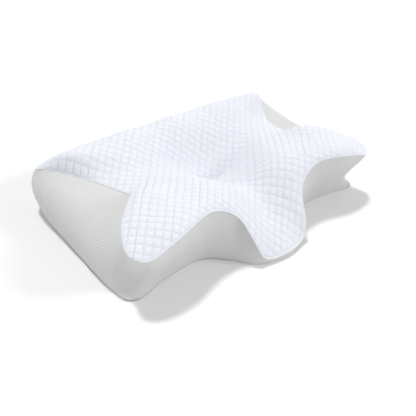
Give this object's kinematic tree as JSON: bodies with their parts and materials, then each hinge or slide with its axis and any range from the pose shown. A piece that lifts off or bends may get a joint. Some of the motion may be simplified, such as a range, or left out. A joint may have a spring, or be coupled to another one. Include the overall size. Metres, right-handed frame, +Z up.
{
  "type": "contoured neck pillow",
  "caption": "Butterfly-shaped contoured neck pillow: foam core, inner liner and zip-off cover with a quilted top, mesh side band, arm notches, shoulder arches and a sloping neck lobe.",
  "frame": {"origin": "on the underside, under the middle of the pillow between the neck lobe and the rear edge", "axes": "+X along the pillow towards its right end as its user lies on it facing up with the neck lobe under the neck, +Y towards the straight rear edge, +Z up"},
  "size_m": [0.6148, 0.3923, 0.1287],
  "materials": {
    "quilt": "white quilted knit with puffy diamond cells",
    "edge": "smooth turned white edge",
    "band": "fine ribbed grey air mesh, matt",
    "base": "flat grey mesh, matt",
    "liner": "thin jersey",
    "foam": "open-cell memory foam, matt",
    "tape": "woven polyester tape",
    "coil": "nylon coil, satin",
    "metal": "satin plated zinc",
    "label": "blank satin ribbon"
  },
  "bodies": {
    "pillow": {"top_panel": "quilt", "top_piping": "edge", "end_panel_left": "band", "end_panel_right": "band", "arch_panel_left": "band", "arch_panel_right": "band", "rear_panel": "band", "base_panel": "base", "base_binding": "band", "liner_top": "liner", "liner_base": "liner", "foam_core": "foam", "zipper_tape_upper": "tape", "zipper_tape_lower": "tape", "zipper_coil_upper": "coil", "zipper_coil_lower": "coil", "zipper_top_stop": "metal", "zipper_bottom_stop": "metal", "care_label": "label"},
    "slider": {"zipper_slider": "metal"},
    "pull_tab": {"zipper_pull_tab": "metal"}
  },
  "joints": [
    {"name": "zip_slide", "type": "slide", "parent": "pillow", "child": "slider", "axis": [-1, 0, 0], "range_m": [0, 0.378]},
    {"name": "pull_swing", "type": "hinge", "parent": "slider", "child": "pull_tab", "pos_m": [0.189, 0.2063, 0.04], "axis": [0, 0, -1], "range_deg": [0, 180]}
  ]
}
